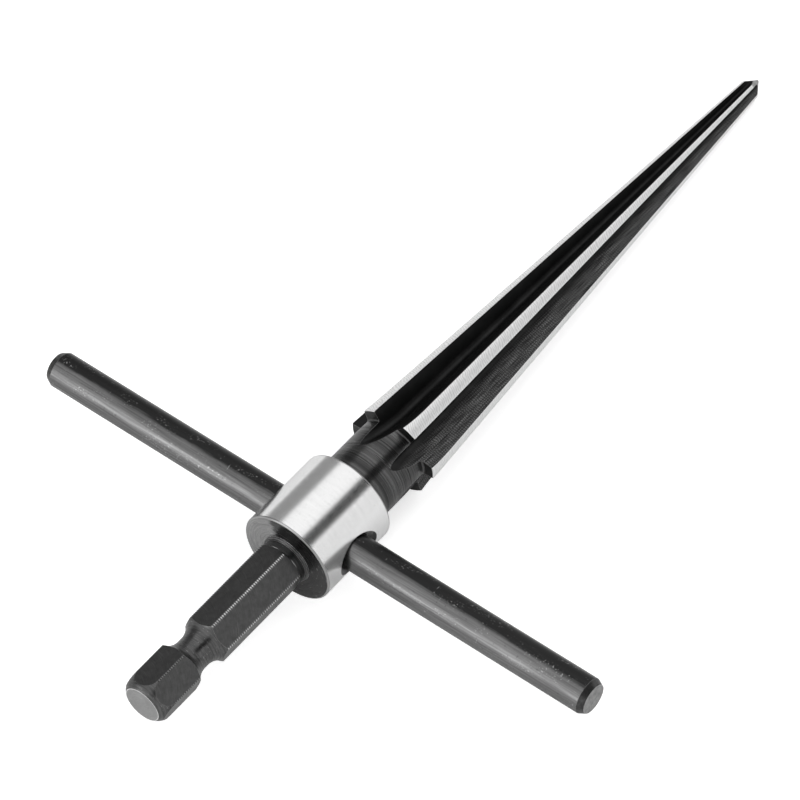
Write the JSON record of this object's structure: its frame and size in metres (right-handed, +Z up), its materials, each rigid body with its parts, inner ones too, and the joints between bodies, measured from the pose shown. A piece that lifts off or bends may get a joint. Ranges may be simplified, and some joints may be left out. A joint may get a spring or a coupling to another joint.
{
  "type": "taper reamer",
  "caption": "Straight-fluted taper reamer with a hexagon quick-change shank and a cross bar through its hub, for opening drilled holes to size by hand or in a driver.",
  "frame": {"origin": "middle of the tool's bounding box on the plane that it lies on", "axes": "+X along the tool from the shank's end towards the point, +Y along the cross bar's far arm, +Z up; the tool's own axis dips by 3.96 degrees towards the point, as it lies on its hub and its teeth"},
  "size_m": [0.1298, 0.0876, 0.0151],
  "materials": {
    "black_oxide_steel": "satin black oxide, with the hub's outside and the tooth lands ground bright",
    "drawn_steel": "dark drawn steel, semi-gloss, with fine marks along it"
  },
  "bodies": {
    "root": {"reamer_body": "black_oxide_steel", "cross_bar": "drawn_steel"}
  },
  "joints": []
}
